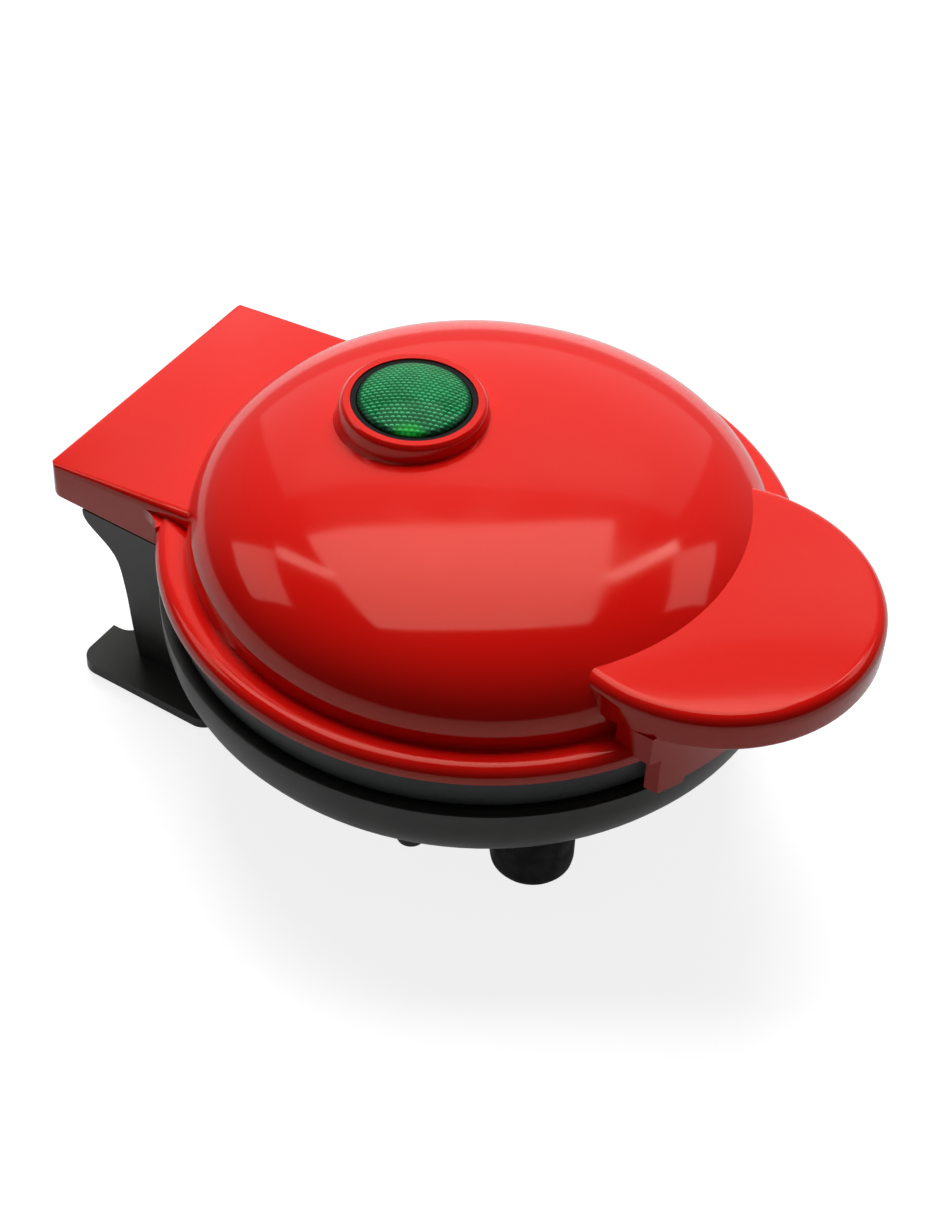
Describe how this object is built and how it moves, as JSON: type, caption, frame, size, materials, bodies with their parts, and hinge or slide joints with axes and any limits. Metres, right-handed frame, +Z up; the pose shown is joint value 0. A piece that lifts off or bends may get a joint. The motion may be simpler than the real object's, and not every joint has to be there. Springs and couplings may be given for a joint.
{
  "type": "taiyaki maker",
  "caption": "Round countertop fish-cake iron with a domed hinged lid, a rounded front handle, a green lamp lens, fish-shaped cooking plates and a rear hinge block on a column.",
  "frame": {"origin": "on the table under the centre of the round lid, within 1 mm of the centre of the footprint", "axes": "+X across the width to the right seen from the front, -Y towards the handle, +Y towards the hinge, +Z up from the table"},
  "size_m": [0.127, 0.1662, 0.0735],
  "materials": {
    "red_plastic": "high gloss moulded plastic",
    "black_plastic": "satin moulded plastic",
    "liner_plastic": "finely grained moulded plastic",
    "lens_green": "clear green lens with a prismatic back",
    "lamp_glass": "clear glass",
    "nonstick_plate": "cast with a dark non-stick coating",
    "heater_steel": "dull sheathed tube",
    "bright_sheet": "bright sheet",
    "zinc_steel": "zinc plated",
    "phenolic": "moulded phenolic",
    "phenolic_pale": "moulded urea",
    "rubber_black": "matt rubber",
    "wire_sleeve": "woven glass sleeve"
  },
  "bodies": {
    "base": {"base_shell": "black_plastic", "hinge_pin_left": "zinc_steel", "hinge_pin_right": "zinc_steel", "base_ring": "liner_plastic", "base_screws": "zinc_steel", "lower_plate": "nonstick_plate", "lower_heater": "heater_steel", "lower_reflector": "bright_sheet", "lower_plate_screws": "zinc_steel", "lower_thermostat": "phenolic", "front_foot_left": "rubber_black", "front_foot_right": "rubber_black", "rear_pads": "rubber_black", "cord_grommet": "rubber_black", "terminal_block": "phenolic_pale", "base_wiring": "wire_sleeve"},
    "lid": {"lid_shell": "red_plastic", "lens": "lens_green", "lens_bezel": "black_plastic", "lamp_holder": "black_plastic", "indicator_lamp": "lamp_glass", "lamp_screws": "zinc_steel", "lid_liner": "liner_plastic", "liner_screws": "zinc_steel", "upper_plate": "nonstick_plate", "upper_heater": "heater_steel", "upper_reflector": "bright_sheet", "upper_plate_screws": "zinc_steel", "upper_thermostat": "phenolic", "thermal_fuse": "bright_sheet", "lid_wiring": "wire_sleeve"}
  },
  "joints": [
    {"name": "lid_hinge", "type": "hinge", "parent": "base", "child": "lid", "pos_m": [0, 0.077, 0.0397], "axis": [-1, 0, 0], "range_deg": [0, 95]}
  ]
}
